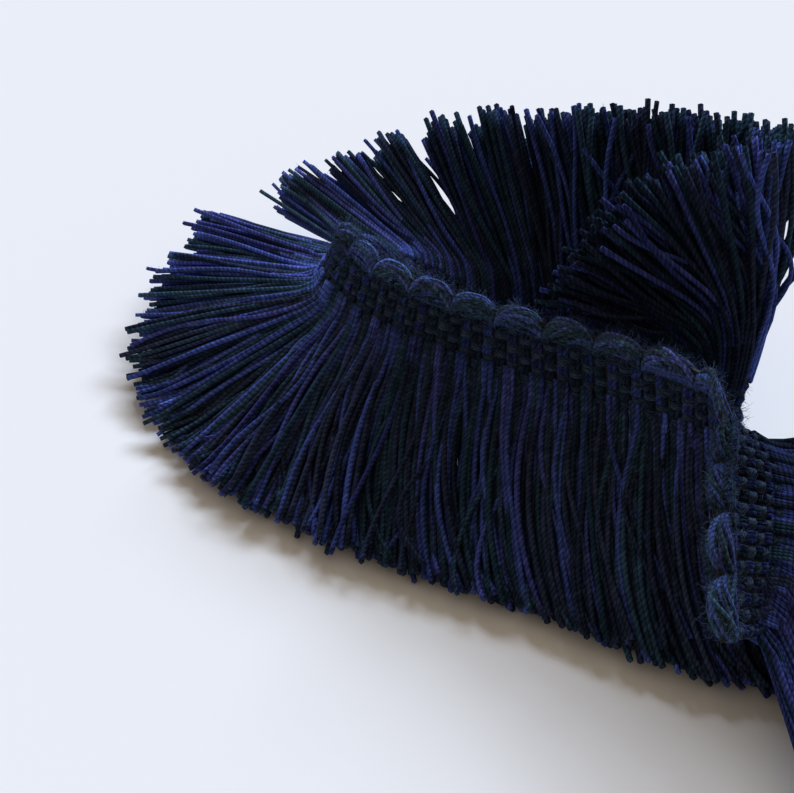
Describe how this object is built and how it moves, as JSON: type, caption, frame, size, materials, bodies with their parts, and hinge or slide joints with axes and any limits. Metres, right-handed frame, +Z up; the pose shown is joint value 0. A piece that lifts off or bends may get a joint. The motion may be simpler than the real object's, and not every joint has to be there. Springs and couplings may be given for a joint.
{
  "type": "brush fringe trim",
  "caption": "Length of woven upholstery trim with a looped upper edge and a deep cut yarn fringe, lying on a table in an open S of folds.",
  "frame": {"origin": "middle of the footprint, on the table", "axes": "+Z up from the table, +X to the right and +Y away from the viewer, along the longer side of the footprint"},
  "size_m": [0.1446, 0.1592, 0.052],
  "materials": {
    "tape_yarn": "woven matte yarn in dark blue and dark green",
    "fringe_yarn": "two-ply twisted yarn in dark blue, violet and dark green, slight sheen"
  },
  "bodies": {
    "root": {"heading_tape": "tape_yarn", "fringe_near_end": "fringe_yarn", "fringe_corner": "fringe_yarn", "fringe_front_right": "fringe_yarn", "fringe_front_left": "fringe_yarn", "fringe_left_turn": "fringe_yarn", "fringe_left_back": "fringe_yarn", "fringe_back_left": "fringe_yarn", "fringe_back_right": "fringe_yarn", "fringe_right_turn": "fringe_yarn", "fringe_tail_right": "fringe_yarn", "fringe_tail_top": "fringe_yarn", "fringe_tail_left": "fringe_yarn"}
  },
  "joints": []
}
